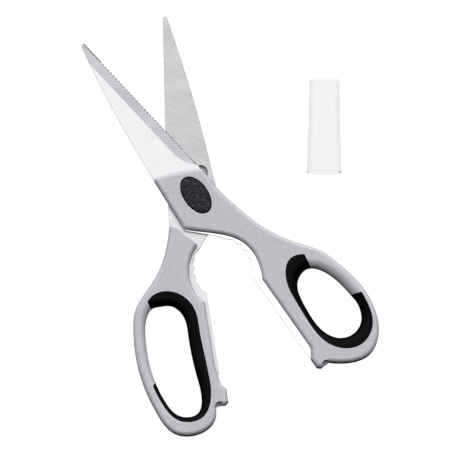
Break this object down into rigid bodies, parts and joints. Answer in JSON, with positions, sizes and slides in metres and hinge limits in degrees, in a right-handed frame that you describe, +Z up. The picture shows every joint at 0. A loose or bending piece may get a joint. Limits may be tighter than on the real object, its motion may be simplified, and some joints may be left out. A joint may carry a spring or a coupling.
{
  "type": "kitchen shears",
  "caption": "Kitchen shears with two hinged steel blades, toothed nutcracker tangs, finger loops with soft grips and a slip-on blade guard.",
  "frame": {"origin": "on the pivot axis at the plane the shears rest on", "axes": "+Y from the pivot along the rear half to the tip of its blade, +Z up out of the table along the pivot axis, +X to the side of the front half's finger loop"},
  "size_m": [0.1298, 0.2181, 0.0116],
  "materials": {
    "blade_steel": "fine brushed stainless with a ground bevel",
    "handle_plastic": "satin moulded grey plastic",
    "grip_rubber": "soft matte black moulded rubber",
    "cap_plastic": "fine grained black plastic",
    "pivot_steel": "turned plain steel",
    "guard_plastic": "milky white translucent polypropylene"
  },
  "bodies": {
    "rear_half": {"rear_blade": "blade_steel", "rear_handle": "handle_plastic", "rear_grip": "grip_rubber", "rear_pivot_cap": "cap_plastic", "pivot_screw": "pivot_steel", "pivot_nut": "pivot_steel", "front_washer": "pivot_steel", "rear_washer": "pivot_steel"},
    "front_half": {"front_blade": "blade_steel", "front_handle": "handle_plastic", "front_grip": "grip_rubber", "front_pivot_cap": "cap_plastic"},
    "guard": {"blade_guard": "guard_plastic"}
  },
  "joints": [
    {"name": "blade_pivot", "type": "hinge", "parent": "rear_half", "child": "front_half", "pos_m": [0, 0, 0], "axis": [0, 0, 1], "range_deg": [-26, 24]},
    {"name": "guard_slide", "type": "slide", "parent": "rear_half", "child": "guard", "axis": [0.1616, 0.9869, 0], "range_m": [0, 0.05]}
  ]
}
